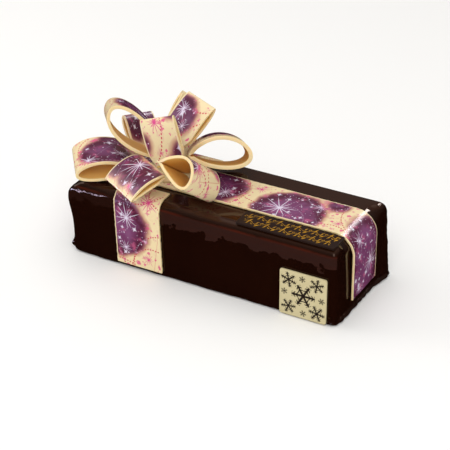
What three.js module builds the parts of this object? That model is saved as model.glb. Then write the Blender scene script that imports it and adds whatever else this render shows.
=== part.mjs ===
// A yule log cake: one solid block of cake under a poured dark glaze, dressed like a gift with
// stiff ribbons of printed chocolate, a bow of ten chocolate loops and two thin chocolate plaques.
// Millimetres, +Z up. The origin is the centre of the flat base, +X runs along the cake and
// +Y to its back.

import * as THREE from 'three';
import { mergeVertices } from 'three/addons/utils/BufferGeometryUtils.js';

// ---- driving dimensions ----

const CAKE = { length: 250, width: 95.5, height: 69.5 };
const EDGE = { left: 15, right: 7, front: 8.5, back: 5.5, top: 8, foot: 2.2 };
const LEFT_TOP = { edge: 15, from: 82, to: 112 }; // the top edge grows rounder towards the left end
const END_REACH = 10; // how far in from an end its own form is felt
const CAKE_STEPS = { x: 34, y: 14, z: 11 };
const LEFT_END = { out: 1.5, bulge: 4.6, height: 51, spread: 15 };
const RIGHT_END = { splay: 1.2, cornerOut: 1.2, cornerSplay: 4, cornerFrom: 15 };
const WAVE = 0.3; // the glaze's waves on the sides, at their deepest
const GLAZE_FOOT = { height: 4, depth: 1.1 };

const GAP = 0.3; // between pieces that touch
const WALL = CAKE.width / 2 + WAVE + GAP; // what lies on the long sides starts here
const TOP = CAKE.height + GAP; // and what lies on the top, here
const RIBBON_WIDTH = 44;
const SLIM_WIDTH = 32; // the ribbon of the upper loops
const RIBBON_THICKNESS = 1.7;

const LONG_RIBBON = { bend: 17, leftEnd: -131.8, rightEnd: 127.2, leftFoot: 14, rightFoot: 12 };
// The strip at the back lies a little further right than the one at the front.
const SHORT_RIBBON = { front: -58.7, back: -49.7, lean: 2.3, bend: 10, foot: 4.5, reach: 18.5 };
const PRESSED = { full: 30, none: 38 }; // how far from a ribbon's middle it presses the glaze
const TOP_PLAQUE = { x: 77.7, y: -35.6, length: 88.5, width: 20.6, thickness: 2, corner: 1.5 };
const FRONT_PLAQUE = { x: 97.4, z: 22.2, side: 42, thickness: 1.8, corner: 2 };
const KNOT = { x: -56, y: -1, radius: 16, height: 14, stretch: 1.3, edge: 1.5, rings: 7, sides: 24 };

// Every loop leaves the knot at its pinch. heading and rise aim it, and roll turns its width
// about its own length, all in degrees. over and under are how far its two sides stand from
// that line, full moves its fattest place away from the pinch, and lift curls its far end.
// wall is the thickness of the chocolate, poured by hand and so never quite the same.
const LOOPS = [
  { name: 'loop_left', pinch: [-82, -2, 78.5], heading: -142, rise: 15, roll: 178,
    length: 56, over: 9, under: 10, full: 0.8, lift: -11.5, width: RIBBON_WIDTH, neck: 0.6, wall: 2.5 },
  { name: 'loop_front_left', pinch: [-51.5, -30, 93.5], heading: -119, rise: -1, roll: 178,
    length: 34.5, over: 4, under: 4, full: 0.05, lift: -12, width: RIBBON_WIDTH, neck: 0.9, wall: 1.8 },
  { name: 'loop_front_right', pinch: [-37, -32.5, 98], heading: -5, rise: 4, roll: -38,
    length: 41, over: 13.5, under: 12.5, full: 1.75, lift: 7.5, width: RIBBON_WIDTH, neck: 0.8, wall: 2.3 },
  { name: 'loop_right', pinch: [-38, 2, 92.5], heading: 38, rise: 10.5, roll: -23.5,
    length: 52, over: 15, under: 14, full: 0.4, lift: 9.5, width: RIBBON_WIDTH, neck: 0.6, wall: 3.3 },
  { name: 'loop_upper_left', pinch: [-58.3, 2.2, 87], heading: -155, rise: 42.5, roll: -162,
    length: 66.5, over: 12.5, under: 15.5, full: 0.65, lift: 1.5, width: SLIM_WIDTH, neck: 0.55, wall: 2.8 },
  { name: 'loop_upper_front', pinch: [-42.5, -19, 90.5], heading: 166, rise: 71, roll: -70,
    length: 43, over: 2, under: 3.5, full: 0.75, lift: -0.5, width: SLIM_WIDTH, neck: 0.8, wall: 1.8 },
  { name: 'loop_upper_right', pinch: [-52.5, -1, 100.5], heading: 63, rise: 48, roll: 14,
    length: 45.5, over: 5, under: 3, full: 0.8, lift: 3, width: SLIM_WIDTH, neck: 0.75, wall: 1.8 },
  { name: 'loop_back_left', pinch: [-85.5, 16, 82], heading: 153, rise: 36, roll: -166,
    length: 30.5, over: 4, under: 3, full: 1, lift: 6.5, width: SLIM_WIDTH, neck: 0.6, wall: 1.8 },
  { name: 'loop_upper_back', pinch: [-61, 20, 95.5], heading: 80, rise: 47, roll: -105,
    length: 37.5, over: 2.5, under: 2.5, full: 1.3, lift: 2.5, width: SLIM_WIDTH, neck: 0.6, wall: 1.8 },
  { name: 'loop_back', pinch: [-58, 10.5, 80.5], heading: 112, rise: 11, roll: -176,
    length: 42.5, over: 6.5, under: 7, full: 1, lift: 1.5, width: SLIM_WIDTH, neck: 0.6, wall: 2.2 },
];
const LOOP_STEPS = 48;
const NECK_SHARE = 0.3; // of a loop's length, over which it widens from its neck

const COLOURS = {
  glaze: { color: 0x1d0d07, roughness: 0.12, metalness: 0 },
  ribbon: { color: 0xe3cf9f, roughness: 0.35, metalness: 0 },
  dark: { color: 0x36241c, roughness: 0.3, metalness: 0 },
  ivory: { color: 0xe6dcb4, roughness: 0.35, metalness: 0 },
};

// ---- helpers ----

const { sin, cos, abs, min, max, sqrt, exp, PI } = Math;
const smooth = (t) => t * t * (3 - 2 * t);
const share = (value, low, high) => min(1, max(0, (value - low) / (high - low)));

function named(name, geometry, material) {
  const mesh = new THREE.Mesh(geometry, new THREE.MeshStandardMaterial(material));
  mesh.name = name;
  return mesh;
}

// Moves every vertex of a geometry by a rule that depends on its place alone.
function warp(geometry, rule) {
  geometry.deleteAttribute('normal');
  geometry.deleteAttribute('uv');
  const merged = mergeVertices(geometry, 1e-3);
  const place = merged.attributes.position;
  const point = new THREE.Vector3();
  for (let i = 0; i < place.count; i += 1) {
    point.fromBufferAttribute(place, i);
    const moved = rule(point);
    place.setXYZ(i, moved.x, moved.y, moved.z);
  }
  merged.computeVertexNormals();
  return merged;
}

// A flat strip of the given thickness along a path in a plane, as a closed outline.
function stripShape(path, thickness) {
  const sides = [1, 0].map((side) => path.map((point, i) => {
    const before = path[max(0, i - 1)];
    const after = path[min(path.length - 1, i + 1)];
    const along = after.clone().sub(before).normalize();
    return new THREE.Vector2(point.x - along.y * side * thickness, point.y + along.x * side * thickness);
  }));
  return new THREE.Shape([...sides[1].reverse(), ...sides[0]]);
}

function arc(centre, radius, from, to, steps) {
  return Array.from({ length: steps + 1 }, (_, i) => {
    const angle = THREE.MathUtils.degToRad(from + ((to - from) * i) / steps);
    return new THREE.Vector2(centre.x + radius * cos(angle), centre.y + radius * sin(angle));
  });
}

// ---- the glazed cake ----

const half = { x: CAKE.length / 2, y: CAKE.width / 2, z: CAKE.height / 2 };

// Low waves that a poured glaze leaves on a side.
const wave = (a, b) => WAVE * (0.53 * sin(a / 15 + 1.3 * sin(b / 21)) + 0.47 * sin(b / 9 + a / 27));

// The glaze gathers in an uneven foot.
const foot = (z, along) => {
  const low = 1 - share(z, 0, GLAZE_FOOT.height);
  return low * low * (GLAZE_FOOT.depth + 0.7 * sin(along / 8) + 0.4 * sin(along / 3.7));
};

// Where a ribbon bends over an edge, the glaze lies just inside the bend. axis points to the
// edge, wall is the ribbon's inner face there, and offset is the distance from its middle.
function press(p, axis, wall, bend, offset) {
  const from = { side: abs(wall) - bend, z: TOP - bend };
  const side = p[axis] * Math.sign(wall) - from.side;
  const z = p.z - from.z;
  const reach = Math.hypot(side, z);
  if (side <= 0 || z <= 0 || reach <= bend - GAP) return;
  const strength = 1 - share(abs(offset), PRESSED.full, PRESSED.none);
  const scale = 1 + ((bend - GAP) / reach - 1) * strength;
  p[axis] = Math.sign(wall) * (from.side + side * scale);
  p.z = from.z + z * scale;
}

// A block whose edges are rounded as quarter ellipses, with its upright edges a little squarer.
function roundedBlock(p) {
  const rounder = (LEFT_TOP.edge - EDGE.top) * smooth(share(-p.x, LEFT_TOP.from, LEFT_TOP.to));
  const edge = {
    x: p.x < 0 ? EDGE.left : EDGE.right,
    y: p.y < 0 ? EDGE.front : EDGE.back,
    z: p.z < 0 ? EDGE.foot : EDGE.top + rounder,
  };
  const inner = new THREE.Vector3();
  const beyond = new THREE.Vector3();
  for (const axis of ['x', 'y', 'z']) {
    const limit = half[axis] - edge[axis];
    inner[axis] = min(limit, max(-limit, p[axis]));
    beyond[axis] = (p[axis] - inner[axis]) / edge[axis];
  }
  const upright = sqrt(beyond.x ** 4 + beyond.y ** 4);
  const reach = sqrt(upright + beyond.z ** 2);
  if (reach > 0) beyond.divideScalar(reach);
  return inner.add(new THREE.Vector3(beyond.x * edge.x, beyond.y * edge.y, beyond.z * edge.z));
}

// The left end swells high up, and the right end leans out towards its foot, most at the back.
function leftBulge(z) {
  const { out, bulge, height, spread } = LEFT_END;
  return out * smooth(share(z, 0, 8)) + bulge * exp(-(((z - height) / spread) ** 2));
}

function rightSplay(y, z) {
  const { splay, cornerOut, cornerSplay, cornerFrom } = RIGHT_END;
  const corner = smooth(share(y, cornerFrom, half.y));
  return corner * cornerOut + (splay + corner * cornerSplay) * (1 - z / CAKE.height);
}

function cakeGeometry() {
  const block = new THREE.BoxGeometry(2, 2, 2, CAKE_STEPS.x, CAKE_STEPS.y, CAKE_STEPS.z);
  return warp(block, (unit) => {
    const even = new THREE.Vector3(
      half.x * sin((unit.x * PI) / 2), half.y * sin((unit.y * PI) / 2), half.z * sin((unit.z * PI) / 2));
    const p = roundedBlock(even);
    p.z += half.z;
    const end = share(abs(p.x), half.x - END_REACH, half.x);
    const side = share(abs(p.y), half.y - EDGE.front, half.y);
    const body = share(p.z, 0, GLAZE_FOOT.height) * share(CAKE.height - p.z, 0, EDGE.top);
    p.x += end * (p.x < 0 ? -leftBulge(p.z) : rightSplay(p.y, p.z));
    p.x += Math.sign(p.x) * end * (body * wave(p.y, p.z) + foot(p.z, p.y));
    p.y += Math.sign(p.y) * side * (body * wave(p.x, p.z) + foot(p.z, p.x));
    press(p, 'x', LONG_RIBBON.leftEnd, LONG_RIBBON.bend, p.y);
    press(p, 'x', LONG_RIBBON.rightEnd, LONG_RIBBON.bend, p.y);
    press(p, 'y', -WALL, SHORT_RIBBON.bend, p.x - SHORT_RIBBON.front);
    press(p, 'y', WALL, SHORT_RIBBON.bend, p.x - SHORT_RIBBON.back);
    return p;
  });
}

// ---- the ribbons that lie on the cake ----

// Over the top from end to end, down both ends in a wide bend.
function longRibbonGeometry() {
  const { bend, leftEnd, rightEnd, leftFoot, rightFoot } = LONG_RIBBON;
  const left = arc({ x: leftEnd + bend, y: TOP - bend }, bend, 180, 90, 9);
  const right = arc({ x: rightEnd - bend, y: TOP - bend }, bend, 90, 0, 9);
  const path = [new THREE.Vector2(leftEnd, leftFoot), ...left, ...right, new THREE.Vector2(rightEnd, rightFoot)];
  const strip = new THREE.ExtrudeGeometry(stripShape(path, RIBBON_THICKNESS), {
    depth: RIBBON_WIDTH, bevelEnabled: false, steps: 1 });
  return warp(strip, (p) => new THREE.Vector3(p.x, RIBBON_WIDTH / 2 - p.z, p.y));
}

// From the bow over one long edge and down that side. facing is -1 for the front, 1 for the back.
function shortRibbonGeometry(facing) {
  const { lean, bend, foot: low, reach } = SHORT_RIBBON;
  const middle = facing < 0 ? SHORT_RIBBON.front : SHORT_RIBBON.back;
  const path = [
    new THREE.Vector2(WALL - reach, TOP),
    ...arc({ x: WALL - bend, y: TOP - bend }, bend, 90, 0, 7),
    new THREE.Vector2(WALL, low),
  ];
  const strip = new THREE.ExtrudeGeometry(stripShape(path, RIBBON_THICKNESS), {
    depth: RIBBON_WIDTH, bevelEnabled: false, steps: 1 });
  return warp(strip, (p) => {
    const drop = (CAKE.height - p.y) / CAKE.height;
    const across = (p.z - RIBBON_WIDTH / 2) * facing;
    return new THREE.Vector3(middle + lean * drop + across, facing * p.x, p.y);
  });
}

// ---- the two plaques ----

function roundedRectangle(width, height, corner) {
  const shape = new THREE.Shape();
  const w = width / 2 - corner;
  const h = height / 2 - corner;
  shape.absarc(w, h, corner, 0, PI / 2);
  shape.absarc(-w, h, corner, PI / 2, PI);
  shape.absarc(-w, -h, corner, PI, 1.5 * PI);
  shape.absarc(w, -h, corner, 1.5 * PI, 2 * PI);
  return shape;
}

function topPlaqueGeometry() {
  const { x, y, length, width, thickness, corner } = TOP_PLAQUE;
  const plate = new THREE.ExtrudeGeometry(roundedRectangle(length, width, corner), {
    depth: thickness, bevelEnabled: false, curveSegments: 3 });
  return warp(plate, (p) => new THREE.Vector3(x + p.x, y + p.y, TOP + p.z));
}

function frontPlaqueGeometry() {
  const { x, z, side, thickness, corner } = FRONT_PLAQUE;
  const plate = new THREE.ExtrudeGeometry(roundedRectangle(side, side, corner), {
    depth: thickness, bevelEnabled: false, curveSegments: 5 });
  return warp(plate, (p) => new THREE.Vector3(x + p.x, -WALL - p.z, z + p.y));
}

// ---- the bow ----

// The chocolate that holds the loops: a low mound, longer along the cake.
function knotGeometry() {
  const { x, y, radius, height, stretch, edge, rings, sides } = KNOT;
  const profile = [new THREE.Vector2(0, 0), new THREE.Vector2(radius, 0)];
  for (let i = 0; i <= rings; i += 1) {
    const out = 1 - i / rings;
    profile.push(new THREE.Vector2(radius * out, edge + (height - edge) * (1 - out * out)));
  }
  const mound = new THREE.LatheGeometry(profile, sides);
  const base = TOP + RIBBON_THICKNESS + GAP;
  return warp(mound, (p) => new THREE.Vector3(x + p.x * stretch, y - p.z, base + p.y));
}

// A loop's side view: x runs from the pinch to the far end, y across.
function loopOutline(loop) {
  const angles = Array.from({ length: LOOP_STEPS }, (_, i) => (2 * PI * i) / LOOP_STEPS);
  const raw = angles.map((a) => sin(a) * abs(sin(a / 2)) ** loop.full);
  const most = max(...raw);
  return angles.map((a, i) => {
    const s = (1 - cos(a)) / 2;
    const t = (raw[i] / most) * (raw[i] > 0 ? loop.over : loop.under);
    return new THREE.Vector2(s * loop.length, t + loop.lift * s * s);
  });
}

function loopShape(loop) {
  const outer = loopOutline(loop);
  const count = outer.length;
  const inside = (i) => {
    const before = outer[(i + count - 1) % count];
    const after = outer[(i + 1) % count];
    const along = after.clone().sub(before).normalize();
    return new THREE.Vector2(outer[i].x + along.y * loop.wall, outer[i].y - along.x * loop.wall);
  };
  const upper = [];
  const lower = [];
  for (let i = 2; i < count / 2; i += 1) {
    if (outer[i].y - outer[count - i].y > 2 * loop.wall + GAP) {
      upper.push(inside(i));
      lower.push(inside(count - i));
    }
  }
  const shape = new THREE.Shape(outer);
  shape.holes.push(new THREE.Path([...lower, ...upper.reverse()]));
  return shape;
}

function loopAxes(loop) {
  const [heading, rise, roll] = [loop.heading, loop.rise, loop.roll].map(THREE.MathUtils.degToRad);
  const along = new THREE.Vector3(cos(rise) * cos(heading), cos(rise) * sin(heading), sin(rise));
  const level = new THREE.Vector3(-sin(heading), cos(heading), 0);
  const steep = new THREE.Vector3().crossVectors(along, level);
  const across = level.multiplyScalar(cos(roll)).addScaledVector(steep, sin(roll));
  const over = new THREE.Vector3().crossVectors(across, along);
  return { along, across, over };
}

function loopGeometry(loop) {
  const { along, across, over } = loopAxes(loop);
  const pinch = new THREE.Vector3(...loop.pinch);
  const ring = new THREE.ExtrudeGeometry(loopShape(loop), { depth: 1, bevelEnabled: false, steps: 1 });
  return warp(ring, (p) => {
    const widen = smooth(share(p.x, 0, NECK_SHARE * loop.length));
    const width = loop.width * (loop.neck + (1 - loop.neck) * widen);
    return pinch.clone()
      .addScaledVector(along, p.x)
      .addScaledVector(over, p.y)
      .addScaledVector(across, (p.z - 0.5) * width);
  });
}

// ---- the whole cake ----

const cake = new THREE.Group();
cake.add(named('cake_body', cakeGeometry(), COLOURS.glaze));
cake.add(named('ribbon_long', longRibbonGeometry(), COLOURS.ribbon));
cake.add(named('ribbon_front', shortRibbonGeometry(-1), COLOURS.ribbon));
cake.add(named('ribbon_back', shortRibbonGeometry(1), COLOURS.ribbon));
cake.add(named('plaque_top', topPlaqueGeometry(), COLOURS.dark));
cake.add(named('plaque_front', frontPlaqueGeometry(), COLOURS.ivory));
cake.add(named('bow_knot', knotGeometry(), COLOURS.ivory));
for (const loop of LOOPS) {
  cake.add(named(loop.name, loopGeometry(loop), COLOURS.ribbon));
}

export default cake;
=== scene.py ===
"""A yule log cake dressed as a gift: its glaze, printed chocolate ribbons, bow and plaques."""

from functools import partial
from math import cos, exp, hypot, pi, radians, sin, sqrt

import bmesh
import bpy
from bpy.props import FloatProperty, FloatVectorProperty, IntProperty, PointerProperty
from mathutils import Matrix, Vector


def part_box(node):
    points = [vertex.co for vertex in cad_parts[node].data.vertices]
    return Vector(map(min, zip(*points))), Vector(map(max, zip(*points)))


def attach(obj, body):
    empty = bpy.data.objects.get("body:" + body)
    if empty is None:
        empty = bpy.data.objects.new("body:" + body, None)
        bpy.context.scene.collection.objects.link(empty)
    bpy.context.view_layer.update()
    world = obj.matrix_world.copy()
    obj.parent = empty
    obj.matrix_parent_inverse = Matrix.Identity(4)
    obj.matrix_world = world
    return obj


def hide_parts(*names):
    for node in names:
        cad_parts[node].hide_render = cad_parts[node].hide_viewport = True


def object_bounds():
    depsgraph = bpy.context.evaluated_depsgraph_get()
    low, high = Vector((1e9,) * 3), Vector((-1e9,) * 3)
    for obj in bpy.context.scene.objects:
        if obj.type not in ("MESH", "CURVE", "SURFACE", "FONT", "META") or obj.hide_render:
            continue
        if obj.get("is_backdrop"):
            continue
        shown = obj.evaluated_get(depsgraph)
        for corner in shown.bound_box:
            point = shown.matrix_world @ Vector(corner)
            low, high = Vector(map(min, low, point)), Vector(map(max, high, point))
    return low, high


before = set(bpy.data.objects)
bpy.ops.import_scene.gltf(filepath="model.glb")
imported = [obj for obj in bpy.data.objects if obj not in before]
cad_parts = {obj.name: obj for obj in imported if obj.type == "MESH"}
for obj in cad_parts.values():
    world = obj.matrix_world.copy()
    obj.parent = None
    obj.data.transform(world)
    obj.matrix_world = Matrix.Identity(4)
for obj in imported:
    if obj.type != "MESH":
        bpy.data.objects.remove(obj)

CAD_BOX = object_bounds()
MM = 0.001

bl_info = {
    "name": "Yule Log Cake",
    "version": (1, 0, 0),
    "blender": (4, 5, 0),
    "location": "View3D > Sidebar > Yule Cake",
    "description": "Dresses a gift-shaped yule log cake with glaze, ribbons, bow and plaques",
    "category": "Add Mesh",
}


# ---- sizes, in millimetres, taken from the frame or repeated from the solids ----

def frame_box(node):
    """A solid's lowest and highest corner in millimetres."""
    low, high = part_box(node)
    return low / MM, high / MM


GAP = 0.3
CAKE = Vector((250, 95.5, 69.5))
HALF = CAKE / 2
EDGE = {"left": 15, "right": 7, "front": 8.5, "back": 5.5, "top": 8, "foot": 2.2}
LEFT_TOP = {"edge": 15, "from": 82, "to": 112}
END_REACH = 10
LEFT_END = {"out": 1.5, "bulge": 4.6, "height": 51, "spread": 15}
RIGHT_END = {"splay": 1.2, "corner_out": 1.2, "corner_splay": 4, "corner_from": 15}
WAVE = 0.3
GLAZE_FOOT = {"height": 4, "depth": 1.1}
RIGHT_FOOT = {"height": 4.2, "depth": 2.2, "lump": 1.2}
# Drips of glaze: place, reach and how far each stands out.
DRIPS = (
    ((-125.5, -46, 7), 3.2, 3), ((-125.5, -47, 12), 1.8, 0.7), ((-96, -48, 3), 4, 0.6),
    ((-10, -48, 4), 6, 0.5), ((30, 48, 6), 5, 0.8), ((125, 47, 9), 3, 1.2),
    ((125, 46.5, 31), 3.5, 0.9), ((125, 46.5, 52), 3, 0.8),
)
WALL = HALF.y + WAVE + GAP
TOP = CAKE.z + GAP
THICKNESS = 1.7
WIDE = 44
SLIM = 32
LONG_BEND = 17
SHORT_BEND = 10
LEFT_FOOT = 2  # the long ribbon ends this much higher at the left
PRESSED = {"full": 30, "none": 38}
NECK_SHARE = 0.3
STRIP_ROWS = 14  # faces across a strip, of which the outermost are RIM_ROW wide
RIM_ROW = 0.8
PRINT_STEP = (97, 61)  # between the places of two strips on the printed sheet
STAR_RAYS = 13
POINTED = 0.55  # the power that draws a sparkle's four points
STAR_CELL = 4  # width of a star's own cell of the star map, in reaches of the star
STAR_LIMIT = 1.9  # a spot is held this near to its star, so it stays in the cell
KNOT_EDGE = 1.5
PLAQUE_CORNER = {"top": 1.5, "front": 2}
PLAQUE_EDGE = 0.4
PLAQUE_RIM = 0.3  # a ring of faces inside the rounded edge
GOLD_RISE = 0.06
GOLD_MARGIN = 2.5

# Every loop's pinch; its heading, rise and roll in degrees; its length, how far it stands over and
# under its own line, how far its fattest place lies out, its lift, width, neck and wall.
LOOPS = {
    "loop_left": ((-82, -2, 78.5), (-142, 15, 178), 56, 9, 10, 0.8, -11.5, WIDE, 0.6, 2.5),
    "loop_front_left": ((-51.5, -30, 93.5), (-119, -1, 178), 34.5, 4, 4, 0.05, -12, WIDE, 0.9, 1.8),
    "loop_front_right": ((-37, -32.5, 98), (-5, 4, -38), 41, 13.5, 12.5, 1.75, 7.5, WIDE, 0.8, 2.3),
    "loop_right": ((-38, 2, 92.5), (38, 10.5, -23.5), 52, 15, 14, 0.4, 9.5, WIDE, 0.6, 3.3),
    "loop_upper_left": (
        (-58.3, 2.2, 87), (-155, 42.5, -162), 66.5, 12.5, 15.5, 0.65, 1.5, SLIM, 0.55, 2.8),
    "loop_upper_front": (
        (-42.5, -19, 90.5), (166, 71, -70), 43, 2, 3.5, 0.75, -0.5, SLIM, 0.8, 1.8),
    "loop_upper_right": ((-52.5, -1, 100.5), (63, 48, 14), 45.5, 5, 3, 0.8, 3, SLIM, 0.75, 1.8),
    "loop_back_left": ((-85.5, 16, 82), (153, 36, -166), 30.5, 4, 3, 1, 6.5, SLIM, 0.6, 1.8),
    "loop_upper_back": ((-61, 20, 95.5), (80, 47, -105), 37.5, 2.5, 2.5, 1.3, 2.5, SLIM, 0.6, 1.8),
    "loop_back": ((-58, 10.5, 80.5), (112, 11, -176), 42.5, 6.5, 7, 1, 1.5, SLIM, 0.6, 2.2),
}

# Purple clouds of the print: place along a piece and across it (both as shares), and radius.
CLOUDS = {
    "ribbon_long": ((0.06, 0.55, 27), (0.235, 0.4, 30), (0.37, 0.75, 18), (0.477, 0.5, 26),
                    (0.677, 0.26, 30.5), (0.766, 0.93, 9.5), (0.9, 0.5, 29), (0.955, 0.45, 28)),
    "ribbon_front": ((0.55, 0.08, 28.5),),
    "ribbon_back": ((0.35, 0.85, 22), (0.82, 0.2, 20)),
    "loop_left": ((0.28, 0.58, 18), (0.22, 0.15, 10), (0.75, 0.4, 26)),
    "loop_front_left": ((0.25, 0.12, 11.5), (0.245, 0.5, 12), (0.25, 0.88, 11.5), (0.76, 0.4, 16)),
    "loop_front_right": ((0.64, 0.98, 9), (0.65, 0.02, 7), (0.86, 0.5, 15), (0.1, 0.4, 12)),
    "loop_right": ((0.2, 0.3, 18), (0.745, 0.28, 12)),
    "loop_upper_left": ((0.3, 0.5, 20), (0.16, 0.1, 14), (0.78, 0.4, 20)),
    "loop_upper_front": ((0.5, 0.98, 7), (0.745, 0, 4.5), (0.87, 1, 10), (0.2, 0.4, 15)),
    "loop_upper_right": ((0.7, 0.22, 11.5), (0.76, 0.45, 10), (0.25, 0.6, 16)),
    "loop_back_left": ((0.3, 0.78, 9.5), (0.38, 0.12, 9), (0.76, 0.5, 14)),
    "loop_upper_back": ((0.2, 0.45, 12), (0.72, 0.5, 15)),
    "loop_back": ((0.33, 0.55, 14), (0.72, 0.3, 16)),
}

# Large stars of the print: place along a piece and across it (both as shares), and reach.
STARS = {
    "ribbon_long": ((0.652, 0.32, 20), (0.735, 0.7, 10), (0.94, 0.72, 14), (0.865, 0.3, 10),
                    (0.51, 0.36, 12), (0.578, 0.78, 9), (0.8, 0.3, 7), (0.245, 0.55, 18),
                    (0.06, 0.6, 17), (0.37, 0.6, 12), (0.14, 0.25, 9), (0.985, 0.25, 9)),
    "ribbon_front": ((0.45, 0.27, 16), (0.8, 0.22, 9), (0.22, 0.75, 13), (0.88, 0.72, 8)),
    "ribbon_back": ((0.4, 0.7, 16), (0.8, 0.25, 13), (0.7, 0.8, 8)),
    "loop_left": ((0.37, 0.84, 13), (0.2, 0.6, 9), (0.72, 0.45, 16), (0.55, 0.3, 8)),
    "loop_front_left": ((0.19, 0.4, 16), (0.37, 0.7, 9), (0.74, 0.5, 14)),
    "loop_front_right": ((0.6, 0.78, 17), (0.44, 0.35, 6), (0.85, 0.5, 13), (0.12, 0.5, 9)),
    "loop_right": ((0.22, 0.4, 13), (0.7, 0.6, 9), (0.5, 0.3, 9)),
    "loop_upper_left": ((0.27, 0.6, 12), (0.4, 0.4, 8), (0.75, 0.5, 13)),
    "loop_upper_front": ((0.59, 0.42, 13), (0.22, 0.5, 13)),
    "loop_upper_right": ((0.69, 0.25, 11), (0.785, 0.52, 7), (0.28, 0.5, 12)),
    "loop_back_left": ((0.4, 0.3, 7), (0.75, 0.5, 10)),
    "loop_upper_back": ((0.2, 0.5, 9), (0.7, 0.5, 12)),
    "loop_back": ((0.35, 0.6, 11), (0.7, 0.35, 12)),
}

# Ornaments of the square plaque: place from its middle, across and up, reach, and tilt in degrees.
FLAKES = (
    (0.5, 0.5, 10.5, 0), (-12.8, 12.6, 7, 18), (12.4, 13.2, 6.6, 40), (-12.6, -12.4, 6.6, 52),
    (12.8, -12.6, 7.2, 8), (-0.6, 16, 3, 30), (0.6, -16, 3, 12), (16.8, 0.2, 3, 5),
    (-16.6, 0.8, 3, 33),
)


# ---- colours ----

def linear(hexadecimal):
    """An sRGB hex colour as linear red, green and blue."""
    values = [int(hexadecimal[i:i + 2], 16) / 255 for i in (1, 3, 5)]
    return [v / 12.92 if v <= 0.04045 else ((v + 0.055) / 1.055) ** 2.4 for v in values]


def opaque(tone):
    """A colour with its alpha, from sRGB hex or from linear values."""
    return (*(linear(tone) if isinstance(tone, str) else tone), 1)


def colour(name, description, value):
    """A colour that the user can change, from its sRGB hex value."""
    return FloatVectorProperty(
        name=name, description=description, default=linear(value), size=3, min=0, max=1,
        subtype="COLOR")


def length(name, description, value, most):
    """A length that the user can change, given in millimetres."""
    return FloatProperty(
        name=name, description=description, default=value * MM, min=0, max=most * MM, precision=5,
        unit="LENGTH", subtype="DISTANCE")


class YuleCakeColours(bpy.types.PropertyGroup):
    """The colours of the chocolate, its print and the glaze."""

    glaze: colour("Glaze", "Dark chocolate mirror glaze", "#1f0b05")
    # painted sheen: a lighter brown for the light that the level top of the glaze mirrors
    glaze_top_sheen: colour("Glaze top sheen", "Painted sheen of the glaze where it lies level", "#2c160c")
    # painted reflection: the colour of the band below the front edge
    glaze_band_reflection: colour("Glaze band reflection", "Painted reflection in a band below the front edge", "#301c18")
    ivory: colour("Ivory", "White chocolate on the printed side", "#f0dcae")
    # partly painted shade: the plain side's butter yellow is made deeper for the warm shadow inside
    # the loops
    ivory_inside_and_shade: colour("Ivory inside and shade", "White chocolate on the plain side, deepened as painted shade", "#eab95c")
    purple: colour("Purple", "The middle of the printed clouds", "#753b63")
    plum: colour("Plum", "The rim of the printed clouds", "#551e37")
    pink: colour("Pink", "Pink stars and dots", "#dd4c8c")
    dark: colour("Dark chocolate", "The long plaque", "#22140f")
    gold: colour("Gold", "Flourishes on the long plaque", "#d0960f")
    motif: colour("Motif", "The print on the square plaque", "#241813")


class YuleCakeSizes(bpy.types.PropertyGroup):
    """The sizes that shape the finish."""

    ripple: length("Glaze ripple", "Height of the waves in the poured glaze", 0.25, 1)
    border: length("Plain border", "Unprinted width along a ribbon's edges", 1.1, 5)
    rim: length("Rim radius", "Rounding of the chocolate's edges", 0.35, 1)
    steps: IntProperty(
        name="Loop steps", description="Faces along one loop", default=96, min=24, max=200)


# ---- shared helpers ----

def share(value, low, high):
    """How far value is from low to high, from 0 to 1."""
    return min(1.0, max(0.0, (value - low) / (high - low)))


def smooth(t):
    """Eases a share in and out."""
    return t * t * (3 - 2 * t)


def sign(value):
    """-1 for a value under 0, otherwise 1."""
    return -1.0 if value < 0 else 1.0


# What a word given right after a node's kind sets.
MODES = {
    "Math": "operation", "VectorMath": "operation", "Mix": "data_type",
    "MapRange": "interpolation_type",
}


def add_node(tree, kind, *values, stops=(), **settings):
    """Adds a shader node. Values, nodes or outputs fill its sockets in use, in order or by their
    capitalised names; None leaves one as it is. stops are a colour ramp's places and colours."""
    node = tree.nodes.new("ShaderNode" + kind)
    if kind in MODES and isinstance(values[0], str):
        settings[MODES[kind]], *values = values
    by_name = []
    for name, value in settings.items():
        if name[0].isupper():
            by_name.append((node.inputs[name.replace("_", " ")], value))
        else:
            setattr(node, name, value)
    in_use = [socket for socket in node.inputs if socket.enabled]
    for socket, value in (*zip(in_use, values), *by_name):
        if isinstance(value, bpy.types.Node):
            value = next(output for output in value.outputs if output.enabled)
        if isinstance(value, bpy.types.NodeSocket):
            tree.links.new(value, socket)
        elif value is not None:
            socket.default_value = opaque(value) if socket.type == "RGBA" else value
    elements = node.color_ramp.elements if stops else ()
    while len(elements) < len(stops):
        elements.new(0.5)
    for element, (place, tone) in zip(elements, stops):
        element.position, element.color = place, opaque(tone)
    return node


def new_material(name):
    """An empty material, and the function that adds nodes to it."""
    material = bpy.data.materials.new(name)
    material.use_nodes = True
    material.node_tree.nodes.clear()
    return material, partial(add_node, material.node_tree)


def relief(add, place, size, detail, depth, below=None, masks=()):
    """Waves or grain of a size and depth, over the relief below, as strong as the masks allow."""
    height = add("TexNoise", place, 1 / size, detail)
    for mask in masks:
        height = add("Math", "MULTIPLY", height, mask)
    return add("Bump", Height=height, Distance=depth, Normal=below)


def new_object(name, data):
    """An object in the scene that shows this data."""
    thing = bpy.data.objects.new(name, data)
    bpy.context.scene.collection.objects.link(thing)
    return thing


def meshed(maker, name, *materials):
    """The object that a bmesh becomes."""
    mesh = bpy.data.meshes.new(name)
    maker.to_mesh(mesh)
    maker.free()
    mesh.shade_smooth()
    for material in materials:
        mesh.materials.append(material)
    return new_object(name, mesh)


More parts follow.
